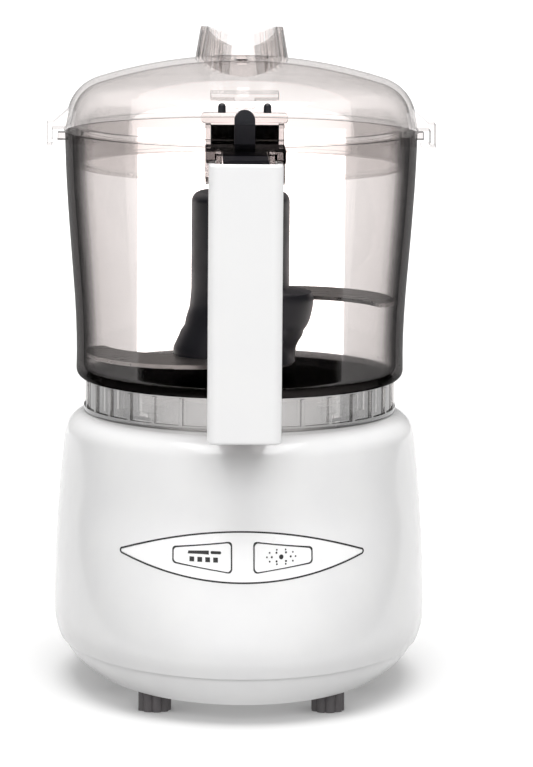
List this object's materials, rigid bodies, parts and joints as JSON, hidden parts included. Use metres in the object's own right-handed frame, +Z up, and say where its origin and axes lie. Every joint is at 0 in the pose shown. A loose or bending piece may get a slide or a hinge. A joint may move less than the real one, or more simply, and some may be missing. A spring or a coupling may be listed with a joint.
{
  "type": "food processor",
  "caption": "Small countertop food processor with a clear bowl and lid, front handle, two-blade knife, two keys and a geared motor in a white base.",
  "frame": {"origin": "on the ground under the middle of the whole object's footprint", "axes": "+Z up, -Y towards the handle and keys, +X to the user's right"},
  "size_m": [0.1386, 0.1824, 0.2316],
  "materials": {
    "white_gloss": "glossy white moulded ABS",
    "white_handle": "satin white moulded ABS",
    "panel": "white panel plate with a printed outline",
    "key_cap": "white keys with a printed pictogram",
    "smoky_clear": "smoky clear moulded SAN",
    "lid_clear": "clear moulded SAN, slightly smoky",
    "ring_clear": "clear ribbed moulding",
    "charcoal": "charcoal blue-black moulded plastic",
    "blade_steel": "ground and brushed stainless steel",
    "rubber": "dark grey rubber",
    "steel": "zinc plated steel",
    "spring_steel": "spring wire",
    "laminations": "stacked steel laminations",
    "copper": "enamelled copper",
    "carbon": "carbon",
    "bronze": "sintered bronze",
    "zinc": "die-cast zinc alloy",
    "grey_nylon": "grey glass-filled nylon",
    "pcb": "green circuit board"
  },
  "bodies": {
    "base": {"base_housing": "white_gloss", "bottom_cover": "white_gloss", "bottom_screws": "steel", "foot_front_left": "rubber", "foot_front_right": "rubber", "foot_back_left": "rubber", "foot_back_right": "rubber", "cord_gland": "rubber", "control_panel": "panel", "circuit_board": "pcb", "key_switches": "carbon", "gear_plate": "zinc", "plate_screws": "steel", "field_core": "laminations", "field_coils": "copper", "motor_bracket": "grey_nylon", "motor_screws": "steel", "brushes": "carbon", "upper_motor_bearing": "bronze", "lower_motor_bearing": "bronze", "lower_spindle_bush": "bronze", "upper_spindle_bush": "bronze", "spindle_seal": "rubber", "pin_spring": "spring_steel", "interlock_switch": "carbon"},
    "rotor": {"armature": "laminations", "commutator": "copper", "motor_shaft": "steel", "motor_pinion": "steel"},
    "spindle": {"driven_gear": "grey_nylon", "drive_spindle": "steel", "drive_coupling": "grey_nylon"},
    "blade": {"blade_hub": "charcoal", "upper_blade": "blade_steel", "lower_blade": "blade_steel"},
    "bowl": {"bowl": "smoky_clear", "locking_ring": "ring_clear", "handle_outer": "white_handle", "handle_inner": "white_handle", "handle_screws": "steel", "rod_spring": "spring_steel", "guide_pins": "charcoal"},
    "rod": {"interlock_rod": "charcoal"},
    "lid": {"lid": "lid_clear"},
    "base_pin": {"base_interlock_pin": "charcoal"},
    "left_key": {"left_key": "key_cap"},
    "right_key": {"right_key": "key_cap"}
  },
  "joints": [
    {"name": "rotor_spin", "type": "hinge", "parent": "base", "child": "rotor", "pos_m": [0, 0.0368, 0.06], "axis": [0, 0, 1], "continuous": true},
    {"name": "drive_spin", "type": "hinge", "parent": "base", "child": "spindle", "pos_m": [0, 0.0128, 0.1], "axis": [0, 0, 1], "continuous": true},
    {"name": "blade_lift", "type": "slide", "parent": "spindle", "child": "blade", "axis": [0, 0, 1], "range_m": [0, 0.04]},
    {"name": "bowl_twist", "type": "hinge", "parent": "base", "child": "bowl", "pos_m": [0, 0.0128, 0.1], "axis": [0, 0, 1], "range_deg": [0, 30]},
    {"name": "rod_slide", "type": "slide", "parent": "bowl", "child": "rod", "axis": [0, 0, -1], "range_m": [0, 0.004], "stiffness_N_per_m": 250, "springref_m": -0.004, "deforming": ["rod_spring"]},
    {"name": "lid_lift", "type": "slide", "parent": "bowl", "child": "lid", "axis": [0, 0, 1], "range_m": [0, 0.06]},
    {"name": "pin_slide", "type": "slide", "parent": "base", "child": "base_pin", "axis": [0, 0, -1], "range_m": [0, 0.004], "stiffness_N_per_m": 250, "springref_m": -0.004, "deforming": ["pin_spring"]},
    {"name": "left_key_press", "type": "slide", "parent": "base", "child": "left_key", "axis": [0, 0.8607, -0.509], "range_m": [0, 0.0006], "stiffness_N_per_m": 800, "springref_m": -0.0004},
    {"name": "right_key_press", "type": "slide", "parent": "base", "child": "right_key", "axis": [0, 0.8607, -0.509], "range_m": [0, 0.0006], "stiffness_N_per_m": 800, "springref_m": -0.0004}
  ],
  "couplings": [
    {"joint": "drive_spin", "follows": "rotor_spin", "ratio": -0.30435},
    {"joint": "pin_slide", "follows": "rod_slide", "ratio": 1}
  ]
}
